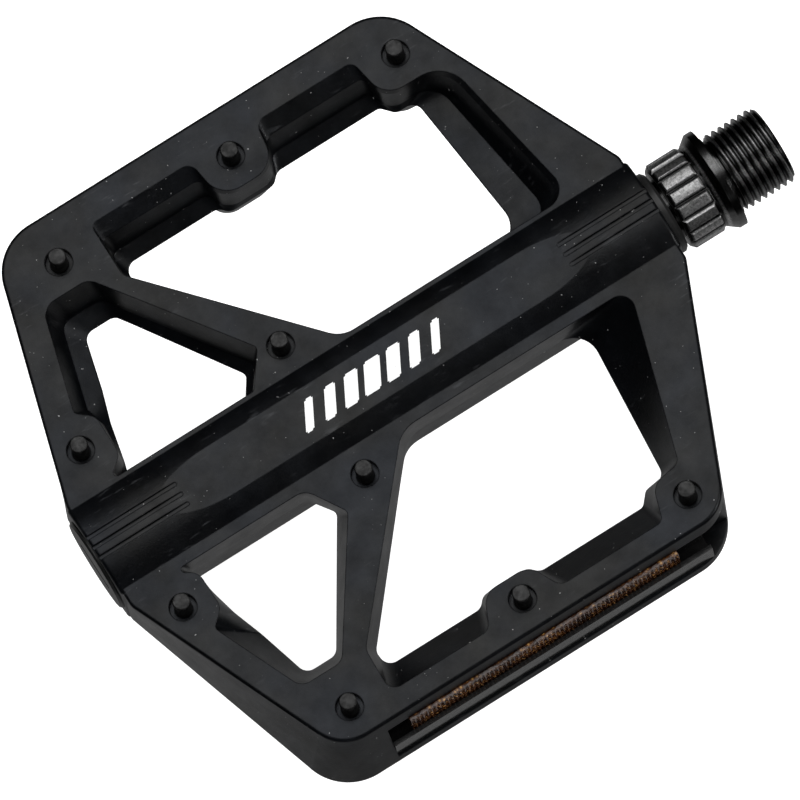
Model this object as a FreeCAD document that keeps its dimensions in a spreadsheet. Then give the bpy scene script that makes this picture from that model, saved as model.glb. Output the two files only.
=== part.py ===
"""Flat bicycle pedal: a moulded platform that spins on a threaded steel spindle.

Frame: +X runs along the spindle towards the crank arm, +Z is up, the platform lies flat.
The origin is the centre of the flange face that seats against the crank arm.
Each piece is drawn about the platform's middle row of pins and then moved by crank_seat_x.
The platform looks the same after half a turn about the spindle, so every outline of the
lower face is the upper face's outline mirrored in Y.
"""
import FreeCAD, Part
import math
import os
import Sketcher
from FreeCAD import Placement, Rotation, Vector

DRIVING_SIZES = [
    # where the crank arm seats, measured from the middle row of pins
    ("crank_seat_x", 66.4),
    # moulded platform
    ("frame_height", 15.0),
    ("edge_round", 0.6),
    ("ledge_z", 6.3),
    ("ledge_y", 45.3),
    ("ledge_share", 0.1),
    ("shelf_z", 1.2),
    ("shelf_y", 43.9),
    ("shelf_share", 0.4),
    # barrel that carries the bearings
    ("barrel_outboard_x", -55.0),
    ("barrel_inboard_x", 54.3),
    ("barrel_half_width", 8.8),
    ("barrel_side_z", 7.1),
    ("barrel_top_z", 9.6),
    ("barrel_edge_round", 1.0),
    ("barrel_end_round", 0.7),
    ("barrel_flat_z", 8.95),
    ("barrel_flat_half_length", 30.0),
    ("barrel_flat_run_out", 110.0),
    ("barrel_flat_rise", 2.0),
    ("grip_groove_width", 0.7),
    ("grip_groove_depth", 0.5),
    ("grip_groove_length", 17.2),
    ("grip_groove_pitch", 2.0),
    ("barrel_bore_radius", 6.3),
    # traction pins
    ("pin_radius", 1.5),
    ("pin_proud", 3.4),
    ("pin_depth", 4.2),
    ("pin_tip_round", 0.25),
    ("pin_well_radius", 2.35),
    ("pin_well_depth", 1.4),
    # reflectors in the long edges
    ("slot_outboard_x", -30.3),
    ("slot_inboard_x", 42.0),
    ("slot_back_y", 48.9),
    ("slot_roof_z", 4.6),
    ("slot_floor_z", -5.4),
    ("tray_inboard_x", 31.5),
    ("tray_gap", 0.05),
    ("tray_wall", 1.0),
    ("tray_lip", 0.8),
    ("tray_lip_z", -0.6),
    ("tray_lip_y", 53.3),
    ("lens_length", 52.0),
    ("lens_middle_x", -0.2),
    ("lens_front_y", 52.5),
    ("lens_top_z", 4.3),
    ("prism_pitch", 0.8),
    ("prism_depth", 0.25),
    # spindle
    ("thread_radius", 7.14),
    ("thread_pitch", 1.27),
    ("thread_depth", 0.72),
    ("shoulder_radius", 7.25),
    ("shoulder_length", 0.5),
    ("neck_radius", 6.3),
    ("neck_length", 0.9),
    ("thread_length", 10.0),
    ("thread_crest", 0.15),
    ("thread_start_bevel", 0.5),
    ("thread_end_bevel", 0.8),
    ("flange_radius", 9.0),
    ("flange_thickness", 1.3),
    ("flange_flare", 2.0),
    ("collar_radius", 8.0),
    ("collar_inboard_x", 56.5),
    ("collar_bevel", 0.7),
    ("collar_end_bevel", 0.6),
    ("flute_count", 18),
    ("flute_width", 1.2),
    ("flute_depth", 0.55),
    ("journal_radius", 5.5),
    ("journal_end_x", 38.0),
    ("taper_end_x", 30.0),
    ("shank_radius", 4.7),
    ("shank_end_x", -44.6),
    ("bearing_seat_radius", 4.0),
    ("stud_radius", 3.0),
    ("stud_setback", 0.3),
    ("stud_end_x", -54.3),
    ("key_socket_flats", 6.0),
    ("key_socket_depth", 6.0),
    # plain bushing and dust seal at the crank end
    ("bushing_outboard_x", 41.5),
    ("bushing_inboard_x", 53.0),
    ("bushing_outer_radius", 6.5),
    ("running_gap", 0.04),
    ("seal_outer_radius", 7.5),
    ("seal_inboard_x", 55.9),
    ("seal_edge_bevel", 0.5),
    ("seal_relief", 0.8),
    ("seal_lip_from", 0.9),
    ("seal_lip_slope", 0.4),
    ("seal_lip_width", 0.5),
    # sealed ball bearing at the outboard end
    ("bearing_middle_x", -47.9),
    ("bearing_width", 5.0),
    ("bearing_outer_radius", 8.0),
    ("seat_gap", 0.01),
    ("ball_radius", 1.0),
    ("ball_count", 9),
    ("ball_groove_gap", 0.05),
    ("race_inner_shoulder", 5.35),
    ("race_outer_shoulder", 6.65),
    ("cage_inner_radius", 5.72),
    ("cage_outer_radius", 6.28),
    ("cage_width", 3.2),
    ("shield_thickness", 0.35),
    ("shield_inner_radius", 5.45),
    ("shield_outer_radius", 7.1),
    ("shield_inset", 0.03),
    # washer, lock nut and end cap
    ("washer_thickness", 0.6),
    ("washer_radius", 4.9),
    ("nut_height", 2.8),
    ("nut_flats", 9.0),
    ("nut_bevel", 0.5),
    ("cap_radius", 8.3),
    ("cap_disc_thickness", 0.6),
    ("cap_skirt_length", 2.6),
    ("cap_skirt_wall", 1.0),
    ("cap_bevel", 0.35),
    ("cap_slot_width", 1.6),
    ("cap_slot_length", 9.0),
    ("cap_slot_depth", 0.35),
]

# lengths below this count as nothing
TINY = 1e-6
# seams round the spindle
SEAM_COUNT = 8

# middle x and distance from the spindle axis of each pin, on both sides of the axis
PIN_PLACES = [(32.2, 45.5), (0.0, 45.6), (-33.6, 45.6), (-47.6, 16.1), (-10.4, 13.2)]

# Outlines as (x, y, corner radius). On the upper face the wide windows are at +Y and the narrow ones
# at -Y. A window is tightest at its waist, halfway down. All outlines of one window list their points
# in the same order, so that the walls between them are ruled.
OUTER_TOP = [
    (-54.7, 9.0, 3.0), (-41.6, 54.1, 9.5), (34.6, 54.1, 9.5), (53.8, 10.0, 2.0),
    (53.8, -10.8, 2.0), (36.0, -51.2, 7.0), (-38.4, -51.2, 7.0), (-54.7, -11.4, 3.0),
]
BIG_WINDOW_WIDE = [
    (-25.8, 48.3, 1.2), (-6.3, 48.3, 2.0), (-5.2, 40.0, 4.5), (5.3, 40.0, 4.5), (6.5, 48.3, 2.0),
    (25.4, 48.3, 1.5), (26.8, 39.9, 4.2), (38.4, 39.9, 6.0), (43.6, 8.9, 3.5), (-1.1, 8.9, 5.0),
    (-25.9, 37.9, 2.0),
]
BIG_WINDOW_NARROW = [
    (-26.6, -47.2, 2.0), (-7.4, -47.2, 2.2), (-4.9, -41.4, 3.6), (3.9, -41.4, 3.6), (6.4, -47.2, 2.2),
    (26.3, -47.2, 1.5), (28.3, -40.8, 3.5), (33.8, -40.2, 2.0), (43.2, -10.2, 2.5), (-1.4, -10.2, 6.0),
    (-26.2, -38.8, 3.0),
]
BIG_WINDOW_WAIST = [
    (-24.2, 41.2, 2.0), (-6.0, 41.2, 2.0), (-4.6, 39.5, 2.0), (4.0, 39.5, 2.0), (5.6, 41.2, 2.0),
    (25.6, 41.2, 1.2), (27.6, 38.9, 1.5), (31.3, 38.9, 2.0), (34.0, 9.6, 4.5), (-0.6, 9.6, 5.5),
    (-24.4, 38.0, 2.0),
]
SMALL_WINDOW_WIDE = [
    (-46.2, 8.9, 0.6), (-18.3, 8.9, 1.0), (-13.8, 15.0, 1.0), (-31.1, 40.4, 3.0), (-40.0, 40.4, 3.0),
    (-45.2, 22.0, 1.0), (-42.4, 19.6, 2.5), (-42.5, 12.0, 2.5),
]
SMALL_WINDOW_NARROW = [
    (-46.4, -10.2, 0.6), (-20.3, -10.2, 3.0), (-16.2, -17.2, 1.2), (-30.6, -38.4, 2.5), (-38.4, -38.4, 2.5),
    (-45.2, -22.0, 1.0), (-42.3, -19.5, 2.5), (-42.3, -12.3, 2.5),
]
SMALL_WINDOW_WAIST = [
    (-42.9, 9.6, 0.5), (-20.3, 9.6, 1.5), (-17.2, 14.2, 1.2), (-30.2, 34.8, 2.0), (-36.0, 34.8, 2.0),
    (-38.6, 25.0, 1.0), (-40.4, 19.5, 2.0), (-42.0, 12.5, 2.0),
]

document = FreeCAD.newDocument("flat_pedal")


def make_sheet():
    """Put every driving dimension in the spreadsheet, each under its own alias."""
    sheet = document.addObject("Spreadsheet::Sheet", "Sizes")
    for row, (alias, value) in enumerate(DRIVING_SIZES, start=1):
        sheet.set("A%d" % row, alias)
        sheet.set("B%d" % row, str(value))
        sheet.setAlias("B%d" % row, alias)
    document.recompute()
    return sheet


sizes = make_sheet()
SUB_PARTS = []


def bind(item, **formulas):
    """Bind properties of an object to formulas over the spreadsheet."""
    for path, formula in formulas.items():
        item.setExpression(path.replace("__", "."), formula)


def register(item, name):
    """Give a finished piece its name and move it so that the crank seat is the origin."""
    item.Label = name
    SUB_PARTS.append(item)
    return item


def seat(item, offset="0"):
    """Shift a piece along X from the pin row's frame to the crank seat's frame."""
    item.setExpression("Placement.Base.x", "%s - Sizes.crank_seat_x" % offset)


def origin_plane(body, role):
    """The body's own origin plane or axis with this role."""
    return [feature for feature in body.Origin.OriginFeatures if feature.Role == role][0]


def polygon_sketch(body, name, role, points):
    """A closed polygon whose corners are bound to formulas, on one of the body's origin planes."""
    sketch = body.newObject("Sketcher::SketchObject", name)
    sketch.AttachmentSupport = [(origin_plane(body, role), "")]
    sketch.MapMode = "FlatFace"
    count = len(points)
    start = [
        Vector(math.cos(2 * math.pi * i / count), math.sin(2 * math.pi * i / count), 0)
        for i in range(count)
    ]
    for i in range(count):
        sketch.addGeometry(Part.LineSegment(start[i], start[(i + 1) % count]), False)
    for i in range(count):
        sketch.addConstraint(Sketcher.Constraint("Coincident", i, 2, (i + 1) % count, 1))
    for i, (x_formula, y_formula) in enumerate(points):
        for kind, formula in (("DistanceX", x_formula), ("DistanceY", y_formula)):
            index = sketch.addConstraint(Sketcher.Constraint(kind, -1, 1, i, 1, 1.0))
            sketch.setExpression("Constraints[%d]" % index, formula)
    return sketch


def turned_body(name, points):
    """A body of revolution about X from a half profile of (x, radius) formulas."""
    body = document.addObject("PartDesign::Body", name)
    sketch = polygon_sketch(body, name + "_profile", "XY_Plane", points)
    turn = body.newObject("PartDesign::Revolution", name + "_turn")
    turn.Profile = sketch
    turn.ReferenceAxis = (sketch, ["H_Axis"])
    turn.Angle = 360.0
    body.Tip = turn
    return body


def ring_points(x_low, x_high, radius_in, radius_out):
    """The rectangle that a plain ring is turned from."""
    return [(x_low, radius_in), (x_high, radius_in), (x_high, radius_out), (x_low, radius_out)]


# ---------------------------------------------------------------- platform


def corner_points(points):
    """Tangent points and mid-arc point of every rounded corner of an outline."""
    corners = []
    for i, (x, y, radius) in enumerate(points):
        here = Vector(x, y, 0)
        to_last = (Vector(*points[i - 1][:2], 0) - here).normalize()
        to_next = (Vector(*points[(i + 1) % len(points)][:2], 0) - here).normalize()
        half_angle = to_last.getAngle(to_next) / 2
        inward = (to_last + to_next).normalize()
        reach = radius / math.tan(half_angle)
        middle = here + inward * (radius / math.sin(half_angle) - radius)
        corners.append((here + to_last * reach, middle, here + to_next * reach))
    return corners


def rounded_wire(points, height):
    """A closed wire at one height: straight runs joined by tangent arcs."""
    lift = Vector(0, 0, height)
    corners = [[point + lift for point in corner] for corner in corner_points(points)]
    edges = []
    for i, (arc_start, arc_middle, arc_end) in enumerate(corners):
        edges.append(Part.Arc(arc_start, arc_middle, arc_end).toShape())
        edges.append(Part.LineSegment(arc_end, corners[(i + 1) % len(corners)][0]).toShape())
    return Part.Wire(edges)


def mirrored(points):
    """The same outline on the other side of the spindle axis."""
    return [(x, -y, radius) for x, y, radius in points]


def between(top, bottom, share, outer_y=None):
    """An outline part of the way from top to bottom; points on the outer bar may take their own y."""
    limit = max(abs(point[1]) for point in top)
    blended = []
    for upper, lower in zip(top, bottom):
        x, y, radius = [a + (b - a) * share for a, b in zip(upper, lower)]
        if outer_y is not None and abs(upper[1]) == limit:
            y = outer_y
        blended.append((x, y, radius))
    return blended


def stacked_loft(levels):
    """One solid from ruled lofts between (outline, height) levels."""
    pieces = [
        Part.makeLoft([rounded_wire(*low), rounded_wire(*high)], True, True)
        for low, high in zip(levels, levels[1:])
    ]
    solid = pieces[0]
    for piece in pieces[1:]:
        solid = solid.fuse(piece)
    return solid


def beyond(levels, extra):
    """Add a straight stretch past both faces, so that a cutter runs clear through."""
    (first, low), (last, high) = levels[0], levels[-1]
    return [(first, low - extra)] + levels + [(last, high + extra)]


def window_cutters():
    """The four openings: walls lean in to a waist, with a sloping ledge and a shelf on the outer bars."""
    top = sizes.frame_height / 2
    overrun = 1.0
    shelf, ledge = sizes.shelf_share, sizes.ledge_share
    big_levels = [
        (mirrored(BIG_WINDOW_NARROW), -top),
        (BIG_WINDOW_WAIST, 0),
        (between(BIG_WINDOW_WIDE, BIG_WINDOW_WAIST, shelf, sizes.shelf_y), sizes.shelf_z),
        (between(BIG_WINDOW_WIDE, BIG_WINDOW_WAIST, ledge, sizes.ledge_y), sizes.ledge_z),
        (BIG_WINDOW_WIDE, top),
    ]
    small_levels = [
        (mirrored(SMALL_WINDOW_NARROW), -top),
        (SMALL_WINDOW_WAIST, 0),
        (between(SMALL_WINDOW_WIDE, SMALL_WINDOW_WAIST, shelf), sizes.shelf_z),
        (SMALL_WINDOW_WIDE, top),
    ]
    cutters = [stacked_loft(beyond(levels, overrun)) for levels in (big_levels, small_levels)]
    return cutters + [half_turn(cutter) for cutter in cutters]


def frame_solid():
    """The outer block of the frame, its long walls leaning, with softened upper and lower edges."""
    top = sizes.frame_height / 2
    block = stacked_loft([(mirrored(OUTER_TOP), -top), (OUTER_TOP, top)])
    rim = [
        edge for edge in block.Edges
        if abs(abs(edge.BoundBox.ZMin) - top) < TINY and edge.BoundBox.ZLength < TINY
    ]
    return block.makeFillet(sizes.edge_round, rim)


def barrel_solid():
    """The ridge along the spindle: crowned above and below, flattened along its middle."""
    half_width, side, crown = sizes.barrel_half_width, sizes.barrel_side_z, sizes.barrel_top_z
    low, length = sizes.barrel_outboard_x, sizes.barrel_inboard_x - sizes.barrel_outboard_x
    corners = [Vector(low, y, z) for y, z in
               ((half_width, -side), (half_width, side), (-half_width, side), (-half_width, -side))]
    section = Part.Wire([
        Part.LineSegment(corners[0], corners[1]).toShape(),
        Part.Arc(corners[1], Vector(low, 0, crown), corners[2]).toShape(),
        Part.LineSegment(corners[2], corners[3]).toShape(),
        Part.Arc(corners[3], Vector(low, 0, -crown), corners[0]).toShape(),
    ])
    barrel = Part.Face(section).extrude(Vector(length, 0, 0))
    long_edges = [edge for edge in barrel.Edges if edge.BoundBox.XLength > length / 2]
    barrel = barrel.makeFillet(sizes.barrel_edge_round, long_edges)
    end_edges = [edge for edge in barrel.Edges if edge.BoundBox.XLength < TINY]
    barrel = barrel.makeFillet(sizes.barrel_end_round, end_edges)
    return barrel.cut(barrel_flats())


def barrel_flats():
    """Cutters for the flat along the barrel's top and bottom, which run out in long arcs."""
    reach = 2 * sizes.barrel_half_width
    flat, half = sizes.barrel_flat_z, sizes.barrel_flat_half_length
    radius, rise = sizes.barrel_flat_run_out, sizes.barrel_flat_rise
    run = math.sqrt(radius**2 - (radius - rise) ** 2)
    part_rise = rise / 4
    part_run = math.sqrt(radius**2 - (radius - part_rise) ** 2)
    points = [Vector(x, -reach, z) for x, z in (
        (-half - run, flat + rise), (-half - part_run, flat + part_rise), (-half, flat),
        (half, flat), (half + part_run, flat + part_rise), (half + run, flat + rise))]
    outline = Part.Wire([
        Part.Arc(points[0], points[1], points[2]).toShape(),
        Part.LineSegment(points[2], points[3]).toShape(),
        Part.Arc(points[3], points[4], points[5]).toShape(),
        Part.LineSegment(points[5], points[0]).toShape(),
    ])
    upper = Part.Face(outline).extrude(Vector(0, 2 * reach, 0))
    return Part.makeCompound([upper, half_turn(upper)])


def grip_grooves():
    """Three narrow grooves at each end of the barrel, on both faces, open at the outer end."""
    width, length, overrun = sizes.grip_groove_width, sizes.grip_groove_length, 1.0
    floor = sizes.barrel_top_z - sizes.grip_groove_depth
    height = sizes.barrel_flat_rise
    cutters = []
    for end_x, inner_x in (
        (sizes.barrel_outboard_x - overrun, sizes.barrel_outboard_x + length),
        (sizes.barrel_inboard_x + overrun, sizes.barrel_inboard_x - length),
    ):
        for step in (-1, 0, 1):
            y = step * sizes.grip_groove_pitch
            corner = Vector(min(end_x, inner_x), y - width / 2, floor)
            cutters.append(Part.makeBox(abs(inner_x - end_x), width, height, corner))
            cutters.append(Part.makeCylinder(width / 2, height, Vector(inner_x, y, floor)))
    return cutters + [half_turn(cutter) for cutter in cutters]


def bore_cutters():
    """The stepped bore: bearing and cap seat outboard, clearance, bushing and seal seats inboard."""
    gap, overrun = sizes.seat_gap, 1.0
    bearing_shoulder = sizes.bearing_middle_x + sizes.bearing_width / 2
    steps = [
        (sizes.barrel_outboard_x - overrun, bearing_shoulder, sizes.bearing_outer_radius + gap),
        (bearing_shoulder - overrun, sizes.bushing_outboard_x, sizes.barrel_bore_radius),
        (sizes.bushing_outboard_x, sizes.bushing_inboard_x, sizes.bushing_outer_radius + gap),
        (sizes.bushing_inboard_x, sizes.barrel_inboard_x + overrun, sizes.seal_outer_radius + gap),
    ]
    return [
        Part.makeCylinder(radius, high - low, Vector(low, 0, 0), Vector(1, 0, 0))
        for low, high, radius in steps
    ]


def pin_hole_cutters():
    """A blind hole with a shallow well round its mouth for every pin."""
    face, overrun = sizes.frame_height / 2, 1.0
    cutters = []
    for x, y, turned in pin_positions():
        direction = Vector(0, 0, -1 if turned else 1)
        mouth = Vector(x, y, -face if turned else face)
        for radius, depth in (
            (sizes.pin_radius + sizes.seat_gap, sizes.pin_depth),
            (sizes.pin_well_radius, sizes.pin_well_depth),
        ):
            floor = mouth - direction * depth
            cutters.append(Part.makeCylinder(radius, depth + overrun, floor, direction))
    return cutters


def pin_positions():
    """Every pin as (x, y, whether it stands on the lower face)."""
    places = []
    for turned in (False, True):
        for side in (1, -1):
            places += [(x, side * y, turned) for x, y in PIN_PLACES]
    return places


def reflector_slots():
    """The slot in each long edge, open at the inboard corner."""
    length = sizes.slot_inboard_x - sizes.slot_outboard_x
    height = sizes.slot_roof_z - sizes.slot_floor_z
    depth = 2 * (sizes.tray_lip_y - sizes.slot_back_y)
    corner = Vector(sizes.slot_outboard_x, -sizes.slot_back_y - depth, sizes.slot_floor_z)
    front = Part.makeBox(length, depth, height, corner)
    return [front, half_turn(front)]


def half_turn(shape):
    """The same shape turned half a turn about the spindle axis."""
    turned = shape.copy()
    turned.rotate(Vector(0, 0, 0), Vector(1, 0, 0), 180)
    return turned


def make_platform():
    """The moulded platform in one piece."""
    frame = frame_solid().cut(window_cutters())
    solid = frame.fuse(barrel_solid())
    solid = solid.cut(grip_grooves() + bore_cutters() + pin_hole_cutters() + reflector_slots())
    platform = document.addObject("Part::Feature", "platform")
    platform.Shape = solid.removeSplitter()
    platform.Placement = Placement(Vector(-sizes.crank_seat_x, 0, 0), Rotation())
    register(platform, "platform")


# ---------------------------------------------------------------- pins and reflectors


def make_pins():
    """Twenty plain pins, each a small turned cylinder with a softened tip."""
    counts = {"upper": 0, "lower": 0}
    for x, y, turned in pin_positions():
        face = "lower" if turned else "upper"
        counts[face] += 1
        name = "%s_pin_%02d" % (face, counts[face])
        rod = document.addObject("Part::Cylinder", name + "_rod")
        bind(rod, Radius="Sizes.pin_radius", Height="Sizes.pin_proud + Sizes.pin_depth")
        document.recompute()
        pin = document.addObject("Part::Fillet", name)
        pin.Base = rod
        pin.Edges = [(tip_edge(rod.Shape), sizes.pin_tip_round, sizes.pin_tip_round)]
        foot = "Sizes.frame_height / 2 - Sizes.pin_depth"
        pin.Placement = Placement(Vector(0, y, 0), Rotation(Vector(1, 0, 0), 180 if turned else 0))
        seat(pin, str(x))
        pin.setExpression("Placement.Base.z", "-(%s)" % foot if turned else foot)
        register(pin, name)


def tip_edge(shape):
    """Index of the circle round the upper end of an upright cylinder."""
    top = shape.BoundBox.ZMax
    for index, edge in enumerate(shape.Edges, start=1):
        if edge.BoundBox.ZMin > top - TINY:
            return index
    raise ValueError("the cylinder has no upper edge")


def side_profile_body(name, points, x_low, length):
    """A body made by padding a YZ section along X from x_low."""
    body = document.addObject("PartDesign::Body", name)
    sketch = polygon_sketch(body, name + "_section", "YZ_Plane", points)
    pad = body.newObject("PartDesign::Pad", name + "_pad")
    pad.Profile = sketch
    pad.setExpression("Length", length)
    body.Tip = pad
    seat(body, "(%s)" % x_low)
    return body


def make_tray(name, turned):
    """A trough: back wall, floor and a raised front lip, pressed into a slot."""
    back = "-(Sizes.slot_back_y + Sizes.tray_gap)"
    inner_back = back + " - Sizes.tray_wall"
    front = "-Sizes.tray_lip_y"
    inner_front = front + " + Sizes.tray_lip"
    floor = "Sizes.slot_floor_z + Sizes.tray_gap"
    inner_floor = floor + " + Sizes.tray_wall"
    roof = "Sizes.slot_roof_z - Sizes.tray_gap"
    points = [
        (back, floor), (front, floor), (front, "Sizes.tray_lip_z"), (inner_front, "Sizes.tray_lip_z"),
        (inner_front, inner_floor), (inner_back, inner_floor), (inner_back, roof), (back, roof),
    ]
    low = "Sizes.slot_outboard_x + Sizes.tray_gap"
    body = side_profile_body(name, points, low, "Sizes.tray_inboard_x - Sizes.slot_outboard_x")
    if turned:
        body.Placement.Rotation = Rotation(Vector(1, 0, 0), 180)
    register(body, name)


def make_lens(name, turned):
    """A bar with fine upright prisms on its front, standing in the tray."""
    back = "-(Sizes.slot_back_y + Sizes.tray_wall + 2 * Sizes.tray_gap)"
    floor = "Sizes.slot_floor_z + Sizes.tray_wall + 2 * Sizes.tray_gap"
    points = [(back, floor), ("-Sizes.lens_front_y", floor), ("-Sizes.lens_front_y", "Sizes.lens_top_z"),
              (back, "Sizes.lens_top_z")]
    low = "Sizes.lens_middle_x - Sizes.lens_length / 2"
    body = side_profile_body(name + "_bar", points, low, "Sizes.lens_length")
    if turned:
        body.Placement.Rotation = Rotation(Vector(1, 0, 0), 180)
    document.recompute()
    lens = document.addObject("Part::Feature", name)
    grooves = prism_grooves()
    lens.Shape = body.Shape.cut([half_turn(groove) for groove in grooves] if turned else grooves)
    register(lens, name)


def prism_grooves():
    """Upright V grooves across the front face of the front lens."""
    pitch, depth, height = sizes.prism_pitch, sizes.prism_depth, sizes.frame_height
    first = sizes.lens_middle_x - sizes.lens_length / 2 - sizes.crank_seat_x
    half_mouth = 0.45 * pitch
    front, outside = -sizes.lens_front_y, -sizes.lens_front_y - sizes.seat_gap
    grooves = []
    for i in range(int(sizes.lens_length / pitch)):
        x = first + (i + 0.5) * pitch
        left, right = Vector(x - half_mouth, outside, -height), Vector(x + half_mouth, outside, -height)
        triangle = Part.makePolygon([left, right, Vector(x, front + depth, -height), left])
        grooves.append(Part.Face(triangle).extrude(Vector(0, 0, 2 * height)))
    return grooves


# ---------------------------------------------------------------- spindle


def make_spindle():
    """Turned steel spindle: thread, shoulder, flange, fluted collar, journal, shank, seat, stud."""
    seat_x = "Sizes.crank_seat_x"
    thread_start = "Sizes.crank_seat_x + Sizes.neck_length"
    end = thread_start + " + Sizes.thread_length"
    flange_back = seat_x + " - Sizes.flange_thickness"
    collar_end = flange_back + " - Sizes.flange_flare"
    bearing_stop = "Sizes.bearing_middle_x + Sizes.bearing_width / 2"
    stud_start = "Sizes.bearing_middle_x - Sizes.bearing_width / 2 + Sizes.stud_setback"
    points = [
        ("Sizes.stud_end_x", "0"),
        (end, "0"),
        (end, "Sizes.thread_radius - Sizes.thread_end_bevel"),
        (end + " - Sizes.thread_end_bevel", "Sizes.thread_radius"),
        (thread_start + " + Sizes.thread_start_bevel", "Sizes.thread_radius"),
        (thread_start, "Sizes.neck_radius"),
        (seat_x + " + Sizes.shoulder_length", "Sizes.neck_radius"),
        (seat_x + " + Sizes.shoulder_length", "Sizes.shoulder_radius"),
        (seat_x, "Sizes.shoulder_radius"),
        (seat_x, "Sizes.flange_radius"),
        (flange_back, "Sizes.flange_radius"),
        (collar_end, "Sizes.collar_radius - Sizes.flute_depth"),
        (collar_end + " - Sizes.collar_end_bevel", "Sizes.collar_radius"),
        ("Sizes.collar_inboard_x + Sizes.collar_bevel", "Sizes.collar_radius"),
        ("Sizes.collar_inboard_x", "Sizes.collar_radius - Sizes.collar_bevel"),
        ("Sizes.collar_inboard_x", "Sizes.journal_radius"),
        ("Sizes.journal_end_x", "Sizes.journal_radius"),
        ("Sizes.taper_end_x", "Sizes.shank_radius"),
        (bearing_stop, "Sizes.shank_radius"),
        (bearing_stop, "Sizes.bearing_seat_radius"),
        (stud_start, "Sizes.bearing_seat_radius"),
        (stud_start, "Sizes.stud_radius"),
        ("Sizes.stud_end_x", "Sizes.stud_radius"),
    ]
    body = turned_body("spindle_blank", points)
    document.recompute()
    add_flutes(body)
    add_key_socket(body)
    add_thread(body)
    seat(body)
    document.recompute()
    spindle = document.addObject("Part::Feature", "spindle")
    spindle.Shape = with_split_crest(body.Shape)
    register(spindle, "spindle")


def with_split_crest(shape):
    """The same solid with its threaded end split at seams, so that the thread's crest is short arcs."""
    box = shape.BoundBox
    margin, reach = 1.0, 2 * sizes.flange_radius
    seam_start = sizes.shoulder_length / 2
    seam_length = box.XMax + margin - seam_start
    plain_length = seam_start - box.XMin + margin
    plain = Part.makeCylinder(reach, plain_length, Vector(seam_start, 0, 0), Vector(-1, 0, 0))
    sectors = []
    for i in range(SEAM_COUNT):
        corners = [Vector(seam_start, 0, 0)]
        for step in (i, i + 1):
            angle = 2 * math.pi * step / SEAM_COUNT
            corners.append(Vector(seam_start, reach * math.cos(angle), reach * math.sin(angle)))
        wedge = Part.Face(Part.makePolygon(corners + corners[:1]))
        sectors.append(shape.common(wedge.extrude(Vector(seam_length, 0, 0))))
    return shape.common(plain).fuse(sectors).Solids[0]


def add_flutes(body):
    """V flutes round the collar, which give a wrench or fingers a grip."""
    half_mouth = "Sizes.flute_width / 2"
    mouth = "Sizes.collar_radius + Sizes.running_gap"
    root = "Sizes.collar_radius - Sizes.flute_depth"
    points = [("-" + half_mouth, mouth), (half_mouth, mouth), ("Sizes.flute_width * 0.001", root)]
    sketch = polygon_sketch(body, "flute_section", "YZ_Plane", points)
    sketch.AttachmentOffset = Placement(
        Vector(0, 0, sizes.collar_inboard_x - sizes.collar_bevel), Rotation())
    flute = body.newObject("PartDesign::Pocket", "flute")
    flute.Profile = sketch
    flute.Reversed = True
    flute.setExpression("Length", "Sizes.crank_seat_x - Sizes.flange_thickness - Sizes.flange_flare"
                        " - Sizes.collar_inboard_x + Sizes.collar_bevel")
    document.recompute()
    pattern = body.newObject("PartDesign::PolarPattern", "flutes")
    pattern.Originals = [flute]
    pattern.Axis = (origin_plane(body, "X_Axis"), [""])
    pattern.Angle = 360.0
    pattern.setExpression("Occurrences", "Sizes.flute_count")
    body.Tip = pattern
    document.recompute()


def hexagon_points(across_flats):
    """The corners of a hexagon, as formulas, for a size across its flats."""
    return [("%s / sqrt(3) * cos(%d deg) + 0" % (across_flats, 60 * i),
             "%s / sqrt(3) * sin(%d deg) + 0" % (across_flats, 60 * i)) for i in range(6)]


def add_key_socket(body):
    """A hexagonal key socket in the threaded end."""
    sketch = polygon_sketch(body, "key_section", "YZ_Plane", hexagon_points("Sizes.key_socket_flats"))
    end = sizes.crank_seat_x + sizes.neck_length + sizes.thread_length
    sketch.AttachmentOffset = Placement(Vector(0, 0, end), Rotation())
    socket = body.newObject("PartDesign::Pocket", "key_socket")
    socket.Profile = sketch
    socket.setExpression("Length", "Sizes.key_socket_depth")
    body.Tip = socket
    document.recompute()


def add_thread(body):
    """Cut the crank thread as a helical V groove."""
    base = "Sizes.crank_seat_x + Sizes.shoulder_length + Sizes.thread_pitch / 2"
    mouth = "Sizes.thread_radius + Sizes.running_gap"
    root = "Sizes.thread_radius - Sizes.thread_depth"
    half_mouth = "(Sizes.thread_pitch - Sizes.thread_crest) / 2"
    half_root = "Sizes.thread_crest / 2"
    points = [
        ("%s - %s" % (base, half_mouth), mouth), ("%s + %s" % (base, half_mouth), mouth),
        ("%s + %s" % (base, half_root), root), ("%s - %s" % (base, half_root), root),
    ]
    sketch = polygon_sketch(body, "thread_section", "XY_Plane", points)
    helix = body.newObject("PartDesign::SubtractiveHelix", "thread")
    helix.Profile = sketch
    helix.ReferenceAxis = (sketch, ["H_Axis"])
    helix.Mode = 0
    helix.setExpression("Pitch", "Sizes.thread_pitch")
    helix.setExpression("Height", "Sizes.thread_length + 2 * Sizes.thread_pitch")
    helix.LeftHanded = False
    body.Tip = helix
    document.recompute()


# ---------------------------------------------------------------- bushing, seal and bearing


def make_bushing():
    """Plain bearing sleeve pressed into the barrel beside the collar."""
    body = turned_body("bushing", ring_points(
        "Sizes.bushing_outboard_x", "Sizes.bushing_inboard_x", "Sizes.journal_radius + Sizes.running_gap",
        "Sizes.bushing_outer_radius"))
    seat(body)
    register(body, "inboard_bushing")


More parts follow.
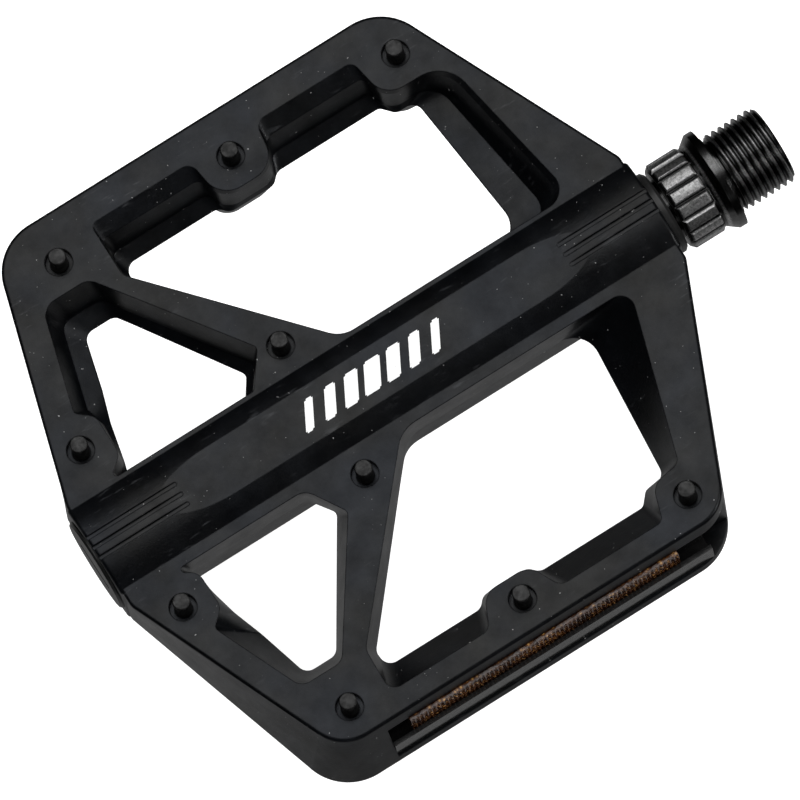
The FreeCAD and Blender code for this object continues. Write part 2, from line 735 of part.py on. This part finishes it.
def make_dust_seal():
    """Rubber ring that closes the gap between barrel and collar, with a thin lip round the journal."""
    low, high = "Sizes.bushing_inboard_x + Sizes.tray_gap", "Sizes.seal_inboard_x"
    lip_start = low + " + Sizes.seal_lip_from"
    lip_top = lip_start + " + Sizes.seal_lip_slope"
    lip = "Sizes.journal_radius + 1.5 * Sizes.running_gap"
    relief = "Sizes.journal_radius + Sizes.seal_relief"
    outer, bevel = "Sizes.seal_outer_radius", "Sizes.seal_edge_bevel"
    points = [
        (low, relief), (lip_start, relief), (lip_top, lip), (lip_top + " + Sizes.seal_lip_width", lip),
        (high, relief), (high, "%s - %s" % (outer, bevel)), ("%s - %s" % (high, bevel), outer),
        (low, outer),
    ]
    body = turned_body("seal", points)
    seat(body)
    register(body, "dust_seal")


def ball_torus(name, extra):
    """The torus swept by the balls, a little fatter than they are."""
    torus = document.addObject("Part::Torus", name)
    bind(torus, Radius1="(Sizes.race_inner_shoulder + Sizes.race_outer_shoulder) / 2",
         Radius2="Sizes.ball_radius + %s" % extra)
    torus.Placement.Rotation = Rotation(Vector(0, 1, 0), 90)
    seat(torus, "Sizes.bearing_middle_x")
    return torus


def make_race(name, points, key):
    """A bearing race with its ball groove."""
    blank = turned_body(key + "_blank", points)
    seat(blank)
    race = document.addObject("Part::Cut", name)
    race.Base = blank
    race.Tool = ball_torus(key + "_track", "Sizes.ball_groove_gap")
    register(race, name)


def make_bearing():
    """Outer race, inner race, cage, balls and shields of the outboard cartridge bearing."""
    low = "Sizes.bearing_middle_x - Sizes.bearing_width / 2"
    high = "Sizes.bearing_middle_x + Sizes.bearing_width / 2"
    recess = "(Sizes.shield_thickness + 2 * Sizes.shield_inset)"
    step_radius = "Sizes.shield_outer_radius"
    make_race("bearing_inner_race", ring_points(
        low, high, "Sizes.bearing_seat_radius + Sizes.seat_gap", "Sizes.race_inner_shoulder"), "inner")
    make_race("bearing_outer_race", [
        (low, step_radius), ("%s + %s" % (low, recess), step_radius),
        ("%s + %s" % (low, recess), "Sizes.race_outer_shoulder"),
        ("%s - %s" % (high, recess), "Sizes.race_outer_shoulder"),
        ("%s - %s" % (high, recess), step_radius), (high, step_radius),
        (high, "Sizes.bearing_outer_radius"), (low, "Sizes.bearing_outer_radius")], "outer")
    for name, edge in (
        ("bearing_shield_outboard", low + " + Sizes.shield_inset"),
        ("bearing_shield_inboard", high + " - Sizes.shield_thickness - Sizes.shield_inset"),
    ):
        shield = turned_body(name, ring_points(
            edge, edge + " + Sizes.shield_thickness", "Sizes.shield_inner_radius",
            step_radius + " - Sizes.seat_gap"))
        seat(shield)
        register(shield, name)
    make_balls()
    make_cage()


def ball_angle(i):
    """Angle of a ball round the spindle axis, in degrees."""
    return 360.0 * i / sizes.ball_count


def pitch_radius():
    """Radius of the circle that the ball centres lie on."""
    return (sizes.race_inner_shoulder + sizes.race_outer_shoulder) / 2


def make_balls():
    """Bearing balls, evenly spaced on their pitch circle."""
    for i in range(int(sizes.ball_count)):
        name = "bearing_ball_%d" % (i + 1)
        ball = document.addObject("Part::Sphere", name)
        bind(ball, Radius="Sizes.ball_radius")
        angle = math.radians(ball_angle(i))
        ball.Placement.Base = Vector(0, pitch_radius() * math.cos(angle), pitch_radius() * math.sin(angle))
        seat(ball, "Sizes.bearing_middle_x")
        register(ball, name)


def make_cage():
    """Thin ring with a pocket for every ball."""
    low = "Sizes.bearing_middle_x - Sizes.cage_width / 2"
    high = "Sizes.bearing_middle_x + Sizes.cage_width / 2"
    blank = turned_body("cage_blank", ring_points(
        low, high, "Sizes.cage_inner_radius", "Sizes.cage_outer_radius"))
    seat(blank)
    document.recompute()
    middle = sizes.bearing_middle_x - sizes.crank_seat_x
    pocket_radius = sizes.ball_radius + 2 * sizes.ball_groove_gap
    pockets = []
    for i in range(int(sizes.ball_count)):
        angle = math.radians(ball_angle(i))
        outward = Vector(0, math.cos(angle), math.sin(angle))
        pockets.append(Part.makeCylinder(
            pocket_radius, sizes.bearing_outer_radius, Vector(middle, 0, 0), outward))
    cage = document.addObject("Part::Feature", "cage")
    cage.Shape = blank.Shape.cut(pockets)
    register(cage, "bearing_cage")


# ---------------------------------------------------------------- washer, nut and cap


def make_washer():
    """Spacer washer between the bearing and the lock nut."""
    high = "Sizes.bearing_middle_x - Sizes.bearing_width / 2"
    body = turned_body("washer", ring_points(
        "%s - Sizes.washer_thickness" % high, high, "Sizes.stud_radius + Sizes.tray_gap",
        "Sizes.washer_radius"))
    seat(body)
    register(body, "spacer_washer")


def make_lock_nut():
    """Hexagonal lock nut with bevelled corners."""
    face = ("Sizes.bearing_middle_x - Sizes.bearing_width / 2 - Sizes.washer_thickness"
            " - Sizes.nut_height")
    hexagon = side_profile_body(
        "nut_blank", hexagon_points("Sizes.nut_flats"), face, "Sizes.nut_height")
    bore = "Sizes.stud_radius + Sizes.seat_gap"
    corner = "Sizes.nut_flats / sqrt(3)"
    bevel = turned_body("nut_bevel", [
        ("0", bore), ("Sizes.nut_height", bore), ("Sizes.nut_height", corner),
        ("Sizes.nut_bevel", corner), ("0", corner + " - Sizes.nut_bevel")])
    seat(bevel, "(%s)" % face)
    nut = document.addObject("Part::Common", "nut")
    nut.Base = hexagon
    nut.Tool = bevel
    register(nut, "lock_nut")


def make_end_cap():
    """Disc with a skirt that plugs the barrel's outboard end, and a coin slot."""
    inner = "Sizes.barrel_outboard_x"
    outer = "Sizes.barrel_outboard_x - Sizes.cap_disc_thickness"
    skirt_end = "Sizes.barrel_outboard_x + Sizes.cap_skirt_length"
    skirt_outer = "Sizes.bearing_outer_radius"
    skirt_inner = skirt_outer + " - Sizes.cap_skirt_wall"
    points = [
        (outer, "0"), (inner, "0"), (inner, skirt_inner), (skirt_end, skirt_inner),
        (skirt_end, skirt_outer), (inner, skirt_outer), (inner, "Sizes.cap_radius"),
        (outer + " + Sizes.cap_bevel", "Sizes.cap_radius"), (outer, "Sizes.cap_radius - Sizes.cap_bevel"),
    ]
    blank = turned_body("cap_blank", points)
    seat(blank)
    slot = document.addObject("Part::Box", "cap_slot")
    bind(slot, Length="2 * Sizes.cap_slot_depth", Width="Sizes.cap_slot_length",
         Height="Sizes.cap_slot_width")
    seat(slot, "(%s - Sizes.cap_slot_depth)" % outer)
    slot.setExpression("Placement.Base.y", "-Sizes.cap_slot_length / 2")
    slot.setExpression("Placement.Base.z", "-Sizes.cap_slot_width / 2")
    cap = document.addObject("Part::Cut", "cap")
    cap.Base = blank
    cap.Tool = slot
    register(cap, "end_cap")


# ---------------------------------------------------------------- build, check, export


def check_document():
    """Stop if any object failed or any sub-part isn't a valid solid."""
    for item in document.Objects:
        if "Invalid" in item.State or "Error" in item.State:
            raise RuntimeError("%s failed: %s" % (item.Label, item.State))
    for item in SUB_PARTS:
        shape = item.Shape
        if shape.isNull() or not shape.isValid() or not shape.Solids:
            raise RuntimeError("%s has no valid solid" % item.Label)


def export_parts():
    """Write each sub-part to its own file."""
    os.makedirs("parts", exist_ok=True)
    for item in SUB_PARTS:
        item.Shape.exportStep("parts/%s.step" % item.Label)
        box = item.Shape.BoundBox
        print("%-26s solids %d volume %9.1f  x %7.2f %7.2f" % (
            item.Label, len(item.Shape.Solids), item.Shape.Volume, box.XMin, box.XMax))


make_platform()
make_pins()
for tray_name, lens_name, is_turned in (
    ("front_reflector_tray", "front_reflector_lens", False),
    ("rear_reflector_tray", "rear_reflector_lens", True),
):
    make_tray(tray_name, is_turned)
    make_lens(lens_name, is_turned)
make_spindle()
make_bushing()
make_dust_seal()
make_bearing()
make_washer()
make_lock_nut()
make_end_cap()
document.recompute()
check_document()
export_parts()
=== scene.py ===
"""Looks for the flat pedal: materials, a plain printed graphic, a pale studio and the camera."""
import math

import bmesh
import bpy
from mathutils import Matrix, Vector


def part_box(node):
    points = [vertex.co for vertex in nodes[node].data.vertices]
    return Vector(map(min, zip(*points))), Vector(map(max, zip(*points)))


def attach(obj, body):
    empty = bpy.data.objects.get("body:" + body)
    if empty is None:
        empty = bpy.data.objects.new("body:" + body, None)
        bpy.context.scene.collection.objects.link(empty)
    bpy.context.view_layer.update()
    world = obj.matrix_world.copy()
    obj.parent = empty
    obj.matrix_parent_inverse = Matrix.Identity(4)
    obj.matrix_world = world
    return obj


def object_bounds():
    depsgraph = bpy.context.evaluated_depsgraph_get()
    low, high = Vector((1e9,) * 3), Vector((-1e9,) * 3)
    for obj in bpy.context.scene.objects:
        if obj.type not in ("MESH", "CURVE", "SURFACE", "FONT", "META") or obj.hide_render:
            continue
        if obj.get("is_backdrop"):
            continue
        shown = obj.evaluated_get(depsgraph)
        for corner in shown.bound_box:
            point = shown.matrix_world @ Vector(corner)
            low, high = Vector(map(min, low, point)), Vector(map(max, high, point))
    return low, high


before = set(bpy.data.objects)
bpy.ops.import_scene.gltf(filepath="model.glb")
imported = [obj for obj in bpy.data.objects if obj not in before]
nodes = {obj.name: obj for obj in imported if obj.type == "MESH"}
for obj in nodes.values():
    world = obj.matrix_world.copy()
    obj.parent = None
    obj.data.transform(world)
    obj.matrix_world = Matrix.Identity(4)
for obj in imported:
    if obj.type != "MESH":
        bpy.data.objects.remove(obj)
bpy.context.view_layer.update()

# the printed bars on the barrel's flat, in metres
BARREL_FLAT_Z = 0.00895
BARS_SHIFT_X = -0.0002
BAR_COUNT = 7
BAR_PITCH = 0.0041
BAR_WIDTH = 0.0031
BAR_TAPER = 0.0005
BAR_HEIGHT = 0.0052
BAR_LEAN = 0.0014
BAR_CORNER = 0.0003
INK_LIFT = 0.00003
INK_DEPTH = 0.00002

# light of the floor, its gap below the swept circle in metres, light of the room, and of the box under
# the floor that gloss mirrors in its place
FLOOR_GLOW = 0.8
FLOOR_GAP = 0.001
ROOM_GLOW = 0.012
FLOOR_MIRROR = 0.28

# the band of distances from the spindle's axis over which its painted highlight is given, in metres
HIGHLIGHT_BAND_START = 0.006
HIGHLIGHT_BAND_END = 0.009

# where the camera looks, from how far and at what angles, in metres, degrees and millimetres of lens
CAMERA_AIM = (-0.0646, -0.0035, 0.0)
CAMERA_DISTANCE = 3.324
CAMERA_AZIMUTH = -16.87
CAMERA_ELEVATION = 73.01
CAMERA_ROLL = -15.78
CAMERA_LENS = 905.2

# ------------------------------------------------------------------ materials


def new_material(name):
    """A material with its Principled shader, ready for nodes."""
    material = bpy.data.materials.new(name)
    material.use_nodes = True
    tree = material.node_tree
    shader = tree.nodes["Principled BSDF"]
    return material, tree, shader


def add_node(tree, kind, **properties):
    """A node with its properties set."""
    node = tree.nodes.new(kind)
    for key, value in properties.items():
        setattr(node, key, value)
    return node


def noise(tree, scale, detail=4.0, roughness=0.5):
    """Noise in the object's own metres; scale is in cells per metre."""
    coordinates = add_node(tree, "ShaderNodeTexCoord")
    texture = add_node(tree, "ShaderNodeTexNoise")
    texture.inputs["Scale"].default_value = scale
    texture.inputs["Detail"].default_value = detail
    texture.inputs["Roughness"].default_value = roughness
    tree.links.new(coordinates.outputs["Object"], texture.inputs["Vector"])
    return texture.outputs["Fac"]


def ramp(tree, source, stops):
    """A colour ramp from (position, colour) stops."""
    node = add_node(tree, "ShaderNodeValToRGB")
    elements = node.color_ramp.elements
    while len(elements) < len(stops):
        elements.new(0.5)
    for element, (position, colour) in zip(elements, stops):
        element.position = position
        element.color = (*colour, 1.0)
    tree.links.new(source, node.inputs["Fac"])
    return node.outputs["Color"]


def grey(value):
    """A neutral colour."""
    return (value, value, value)


def bump(tree, shader, height, strength, distance, under=None):
    """Feed a height into the shader's normal, over an earlier normal if there is one."""
    node = add_node(tree, "ShaderNodeBump")
    node.inputs["Strength"].default_value = strength
    node.inputs["Distance"].default_value = distance
    tree.links.new(height, node.inputs["Height"])
    if under is not None:
        tree.links.new(under, node.inputs["Normal"])
    tree.links.new(node.outputs["Normal"], shader.inputs["Normal"])
    return node.outputs["Normal"]


def soft_edges(tree, radius):
    """A normal that rounds off the sharp edges of a moulding."""
    node = add_node(tree, "ShaderNodeBevel", samples=6)
    node.inputs["Radius"].default_value = radius
    return node.outputs["Normal"]


def mixed(tree, share, first, second):
    """Blend two colours by a share."""
    node = add_node(tree, "ShaderNodeMix", data_type="RGBA")
    tree.links.new(share, node.inputs["Factor"])
    colour_inputs = [socket for socket in node.inputs if socket.type == "RGBA"]
    for socket, source in zip(colour_inputs, (first, second)):
        if isinstance(source, tuple):
            socket.default_value = (*source, 1.0)
        else:
            tree.links.new(source, socket)
    return [socket for socket in node.outputs if socket.type == "RGBA"][0]


def scuffs(tree, scale, stretch, turn, low, high):
    """Sparse fine marks: stretched noise, kept only where a slower noise is high."""
    coordinates = add_node(tree, "ShaderNodeTexCoord")
    mapping = add_node(tree, "ShaderNodeMapping")
    mapping.inputs["Scale"].default_value = (scale, scale * stretch, scale)
    mapping.inputs["Rotation"].default_value = (0.0, 0.0, turn)
    texture = add_node(tree, "ShaderNodeTexNoise")
    texture.inputs["Scale"].default_value = 1.0
    texture.inputs["Detail"].default_value = 3.0
    tree.links.new(coordinates.outputs["Object"], mapping.inputs["Vector"])
    tree.links.new(mapping.outputs["Vector"], texture.inputs["Vector"])
    fine = ramp(tree, texture.outputs["Fac"], [(low, grey(0.0)), (high, grey(1.0))])
    patches = ramp(tree, noise(tree, 95.0, 2.0), [(0.52, grey(0.0)), (0.66, grey(1.0))])
    product = add_node(tree, "ShaderNodeMath", operation="MULTIPLY")
    tree.links.new(fine, product.inputs[0])
    tree.links.new(patches, product.inputs[1])
    return product.outputs["Value"]


def nylon():
    """Moulded black nylon: fine grain, faint cool mottling, tiny dust specks and a few rub marks."""
    material, tree, shader = new_material("nylon")
    mottle = ramp(tree, noise(tree, 120.0, 6.0, 0.65), [
        (0.32, (0.0009, 0.0010, 0.0013)), (0.52, (0.0016, 0.0018, 0.0023)), (0.70, (0.0032, 0.0036, 0.0045))])
    marks = scuffs(tree, 260.0, 5.0, 0.6, 0.60, 0.72)
    rubbed = mixed(tree, marks, mottle, (0.022, 0.023, 0.025))
    specks = ramp(tree, noise(tree, 1900.0, 1.0), [(0.775, grey(0.0)), (0.80, grey(1.0))])
    colour = mixed(tree, specks, rubbed, (0.22, 0.22, 0.22))
    tree.links.new(colour, shader.inputs["Base Color"])
    rough = ramp(tree, noise(tree, 210.0, 6.0, 0.7), [(0.35, grey(0.38)), (0.68, grey(0.29))])
    tree.links.new(rough, shader.inputs["Roughness"])
    rounded = soft_edges(tree, 0.0003)
    fine = bump(tree, shader, noise(tree, 4200.0, 2.0, 0.6), 0.45, 0.00004, rounded)
    bump(tree, shader, noise(tree, 800.0, 3.0, 0.5), 0.12, 0.00008, fine)
    tint = ramp(tree, noise(tree, 60.0, 3.0), [(0.35, (1.0, 1.0, 0.98)), (0.65, (0.86, 0.91, 1.0))])
    tree.links.new(tint, shader.inputs["Specular Tint"])
    level = ramp(tree, noise(tree, 150.0, 5.0, 0.7), [(0.30, grey(0.26)), (0.70, grey(0.44))])
    tree.links.new(level, shader.inputs["Specular IOR Level"])
    return material


def distance_from_axis(tree):
    """The distance of each point from the spindle's axis, in metres."""
    coordinates = add_node(tree, "ShaderNodeTexCoord")
    across = add_node(tree, "ShaderNodeVectorMath", operation="MULTIPLY")
    across.inputs[1].default_value = (0.0, 1.0, 1.0)
    tree.links.new(coordinates.outputs["Object"], across.inputs[0])
    length = add_node(tree, "ShaderNodeVectorMath", operation="LENGTH")
    tree.links.new(across.outputs["Vector"], length.inputs[0])
    return length.outputs["Value"]


def black_steel():
    """Black plated steel: glossy in its grooves, with a bright, grainy painted highlight coloured onto the
    thread's crests and the collar's lands.
    """
    material, tree, shader = new_material("black_steel")
    grain = ramp(tree, noise(tree, 2600.0, 4.0, 0.7), [(0.36, grey(0.26)), (0.66, grey(0.85))])
    dark = ramp(tree, noise(tree, 420.0, 5.0, 0.7), [(0.36, grey(0.045)), (0.72, grey(0.14))])
    ring = add_node(tree, "ShaderNodeMapRange")
    ring.inputs["From Min"].default_value = HIGHLIGHT_BAND_START
    ring.inputs["From Max"].default_value = HIGHLIGHT_BAND_END
    tree.links.new(distance_from_axis(tree), ring.inputs["Value"])
    # painted highlight: the thread's crests and the collar's lands are coloured bright by their distance from
    # the axis, and the rest keeps the dark plating colour
    thread = [(0.22, grey(0.0)), (0.36, grey(0.75)), (0.40, grey(0.15))]
    collar = [(0.55, grey(0.0)), (0.63, grey(1.0)), (0.68, grey(0.9)), (0.74, grey(0.1))]
    painted_highlight_share = ramp(tree, ring.outputs["Result"], thread + collar)
    tree.links.new(mixed(tree, painted_highlight_share, dark, grain), shader.inputs["Base Color"])
    shader.inputs["Metallic"].default_value = 1.0
    rough = ramp(tree, painted_highlight_share, [(0.0, grey(0.22)), (1.0, grey(0.42))])
    tree.links.new(rough, shader.inputs["Roughness"])
    rounded = soft_edges(tree, 0.00018)
    bump(tree, shader, noise(tree, 5200.0, 3.0), 0.35, 0.00003, rounded)
    return material


def pin_steel():
    """Blackened pin steel: satin, with slightly worn patches."""
    material, tree, shader = new_material("pin_steel")
    colour = ramp(tree, noise(tree, 800.0, 4.0), [(0.35, grey(0.030)), (0.65, grey(0.065))])
    tree.links.new(colour, shader.inputs["Base Color"])
    shader.inputs["Metallic"].default_value = 0.9
    rough = ramp(tree, noise(tree, 2400.0, 3.0), [(0.3, grey(0.38)), (0.7, grey(0.58))])
    tree.links.new(rough, shader.inputs["Roughness"])
    bump(tree, shader, noise(tree, 3000.0, 2.0), 0.3, 0.00003, soft_edges(tree, 0.0002))
    return material


def plain_metal(name, low, high, rough_low, rough_high, scale):
    """Bright machined metal with fine variation between two colours."""
    material, tree, shader = new_material(name)
    colour = ramp(tree, noise(tree, scale, 3.0), [(0.3, low), (0.7, high)])
    tree.links.new(colour, shader.inputs["Base Color"])
    shader.inputs["Metallic"].default_value = 1.0
    rough = ramp(tree, noise(tree, scale * 2, 3.0), [(0.3, grey(rough_low)), (0.7, grey(rough_high))])
    tree.links.new(rough, shader.inputs["Roughness"])
    bump(tree, shader, noise(tree, scale * 3, 2.0), 0.2, 0.00002)
    return material


def dark_polymer(name, base, rough_low, rough_high, grain):
    """Black plastic or rubber with its own gloss and grain."""
    material, tree, shader = new_material(name)
    colour = ramp(tree, noise(tree, 300.0, 4.0), [(0.3, grey(base * 0.8)), (0.7, grey(base * 1.3))])
    tree.links.new(colour, shader.inputs["Base Color"])
    rough = ramp(tree, noise(tree, 900.0, 4.0), [(0.3, grey(rough_low)), (0.7, grey(rough_high))])
    tree.links.new(rough, shader.inputs["Roughness"])
    bump(tree, shader, noise(tree, grain, 2.0), 0.3, 0.00003)
    return material


def amber():
    """Amber reflector plastic: deep brown-red, lighter where small prisms and edges catch light."""
    material, tree, shader = new_material("amber")
    coordinates = add_node(tree, "ShaderNodeTexCoord")
    cells = add_node(tree, "ShaderNodeTexVoronoi")
    cells.inputs["Scale"].default_value = 1100.0
    tree.links.new(coordinates.outputs["Object"], cells.inputs["Vector"])
    facets = ramp(tree, cells.outputs["Distance"], [
        (0.05, (0.52, 0.28, 0.08)), (0.30, (0.085, 0.030, 0.007)), (0.70, (0.022, 0.007, 0.003))])
    depth = ramp(tree, noise(tree, 180.0, 3.0), [(0.46, grey(0.0)), (0.70, grey(1.0))])
    colour = mixed(tree, depth, facets, (0.012, 0.006, 0.004))
    tree.links.new(colour, shader.inputs["Base Color"])
    shader.inputs["Roughness"].default_value = 0.14
    shader.inputs["IOR"].default_value = 1.49
    shader.inputs["Coat Weight"].default_value = 0.6
    shader.inputs["Coat Roughness"].default_value = 0.06
    bump(tree, shader, cells.outputs["Distance"], 0.5, 0.00012, soft_edges(tree, 0.0002))
    return material


def white_print():
    """Pad-printed white ink, a little worn."""
    material, tree, shader = new_material("white_print")
    colour = ramp(tree, noise(tree, 900.0, 5.0, 0.7), [(0.26, grey(0.70)), (0.40, grey(0.95))])
    tree.links.new(colour, shader.inputs["Base Color"])
    shader.inputs["Roughness"].default_value = 0.45
    bump(tree, shader, noise(tree, 4000.0, 2.0), 0.2, 0.00002)
    return material


# ------------------------------------------------------------------ pieces


def dress(node, material):
    """Give a CAD node its material in every slot."""
    item = nodes[node]
    item.data.materials.clear()
    item.data.materials.append(material)


def printed_bars():
    """A plain row of slanted white bars printed on the barrel's flat, in place of any lettering."""
    low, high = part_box("platform")
    middle_x = (low[0] + high[0]) / 2 + BARS_SHIFT_X
    middle_bar = (BAR_COUNT - 1) / 2
    edit = bmesh.new()
    for i in range(BAR_COUNT):
        centre = middle_x + (i - middle_bar) * BAR_PITCH
        half_width = (BAR_WIDTH - BAR_TAPER * abs(i - middle_bar)) / 2
        corners = [(-half_width, -1), (half_width, -1), (half_width, 1), (-half_width, 1)]
        verts = [
            edit.verts.new((centre + x + side * BAR_LEAN, side * BAR_HEIGHT / 2, BARREL_FLAT_Z + INK_LIFT))
            for x, side in corners
        ]
        edit.faces.new(verts)
    bmesh.ops.bevel(edit, geom=list(edit.verts), offset=BAR_CORNER, segments=4, affect="VERTICES")
    mesh = bpy.data.meshes.new("printed_bars")
    edit.to_mesh(mesh)
    edit.free()
    print_piece = bpy.data.objects.new("printed_bars", mesh)
    bpy.context.scene.collection.objects.link(print_piece)
    ink = print_piece.modifiers.new("ink_depth", "SOLIDIFY")
    ink.thickness = INK_DEPTH
    mesh.materials.append(white_print())
    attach(print_piece, "platform")


nylon_material = nylon()
for node, material in {
    "platform": nylon_material,
    "spindle": black_steel(),
    "inboard_bushing": plain_metal("bronze", (0.42, 0.26, 0.10), (0.60, 0.40, 0.17), 0.32, 0.5, 700.0),
    "bearing_cage": plain_metal("brass", (0.60, 0.42, 0.14), (0.78, 0.58, 0.24), 0.22, 0.36, 600.0),
    "dust_seal": dark_polymer("seal_rubber", 0.012, 0.30, 0.45, 1500.0),
    "end_cap": dark_polymer("cap_plastic", 0.006, 0.36, 0.44, 1500.0),
}.items():
    dress(node, material)
race_steel = plain_metal("race_steel", grey(0.48), grey(0.64), 0.14, 0.26, 900.0)
zinc = plain_metal("zinc", grey(0.42), grey(0.58), 0.3, 0.46, 500.0)
ball_steel = plain_metal("ball_steel", grey(0.62), grey(0.74), 0.04, 0.10, 900.0)
shield_rubber = dark_polymer("shield_rubber", 0.014, 0.42, 0.6, 1800.0)
tray_plastic = dark_polymer("tray_plastic", 0.010, 0.10, 0.22, 2600.0)
pins = pin_steel()
amber_plastic = amber()
for name in nodes:
    if "_pin_" in name:
        dress(name, pins)
    elif "_ball_" in name:
        dress(name, ball_steel)
    elif name.endswith("_race"):
        dress(name, race_steel)
    elif "_shield_" in name:
        dress(name, shield_rubber)
    elif name.endswith("_tray"):
        dress(name, tray_plastic)
    elif name.endswith("_lens"):
        dress(name, amber_plastic)
    elif name in ("spacer_washer", "lock_nut"):
        dress(name, zinc)

printed_bars()

# ------------------------------------------------------------------ stage


def white_floor():
    """A plain pale floor, lit from within a little, just below the circle the platform sweeps as it spins."""
    material, tree, shader = new_material("floor")
    shader.inputs["Base Color"].default_value = (0.85, 0.85, 0.85, 1.0)
    shader.inputs["Roughness"].default_value = 0.9
    shader.inputs["Emission Color"].default_value = (1.0, 1.0, 1.0, 1.0)
    shader.inputs["Emission Strength"].default_value = FLOOR_GLOW
    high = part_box("platform")[1]
    sweep = math.hypot(high[1], high[2])
    bpy.ops.mesh.primitive_plane_add(size=6.0, location=(0, 0, -sweep - FLOOR_GAP))
    floor = bpy.context.object
    floor.name = "floor"
    floor.data.materials.append(material)
    floor.visible_glossy = False
    floor.visible_shadow = False
    floor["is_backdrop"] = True


def softbox(name, middle, offset, width, height, radiance, mirrored_in_gloss=True):
    """A rectangular softbox that faces the middle of the object and shines with this radiance."""
    data = bpy.data.lights.new(name, "AREA")
    data.shape = "RECTANGLE"
    data.size = width
    data.size_y = height
    data.energy = radiance * math.pi * width * height
    light = bpy.data.objects.new(name, data)
    bpy.context.scene.collection.objects.link(light)
    light.location = middle + Vector(offset)
    light.rotation_euler = Vector(offset).to_track_quat("Z", "Y").to_euler()
    light.visible_glossy = mirrored_in_gloss


def dim_surroundings():
    """A dark room round the stage."""
    world = bpy.data.worlds.new("studio")
    bpy.context.scene.world = world
    world.use_nodes = True
    world.node_tree.nodes["Background"].inputs["Strength"].default_value = ROOM_GLOW


def soft_studio():
    """One big box overhead and a little behind, a fill, small boxes at the sides, a box under the floor."""
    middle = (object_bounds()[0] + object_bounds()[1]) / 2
    softbox("overhead", middle, (0.10, 0.32, 1.08), 1.5, 0.80, 1.5)
    softbox("fill", middle, (0.0, 0.0, 1.3), 1.4, 1.4, 2.6, False)
    softbox("front", middle, (-0.35, -1.15, 0.55), 0.9, 0.25, 0.5)
    softbox("thread_side", middle, (0.95, -0.75, 0.75), 0.30, 0.30, 13.0)
    softbox("floor_mirror", middle, (0.0, -0.05, -0.9), 3.0, 3.0, FLOOR_MIRROR)
    dim_surroundings()


def camera_at(aim, distance, azimuth, elevation, roll, lens):
    """A camera that looks at aim from that distance; azimuth 0 looks along +Y, angles in degrees."""
    az, el, turn = (math.radians(angle) for angle in (azimuth, elevation, roll))
    forward = Vector((-math.sin(az) * math.cos(el), math.cos(az) * math.cos(el), -math.sin(el)))
    level_right = Vector((math.cos(az), math.sin(az), 0.0))
    level_up = level_right.cross(forward)
    right = level_right * math.cos(turn) + level_up * math.sin(turn)
    up = right.cross(forward)
    data = bpy.data.cameras.new("camera")
    data.lens = lens
    data.clip_end = 50.0
    camera = bpy.data.objects.new("camera", data)
    camera.matrix_world = Matrix.Translation(Vector(aim) - forward * distance) @ Matrix(
        (right, up, -forward)).transposed().to_4x4()
    bpy.context.scene.collection.objects.link(camera)
    bpy.context.scene.camera = camera


white_floor()
soft_studio()
camera_at(CAMERA_AIM, CAMERA_DISTANCE, CAMERA_AZIMUTH, CAMERA_ELEVATION, CAMERA_ROLL, CAMERA_LENS)
bpy.context.scene.view_settings.view_transform = "Standard"
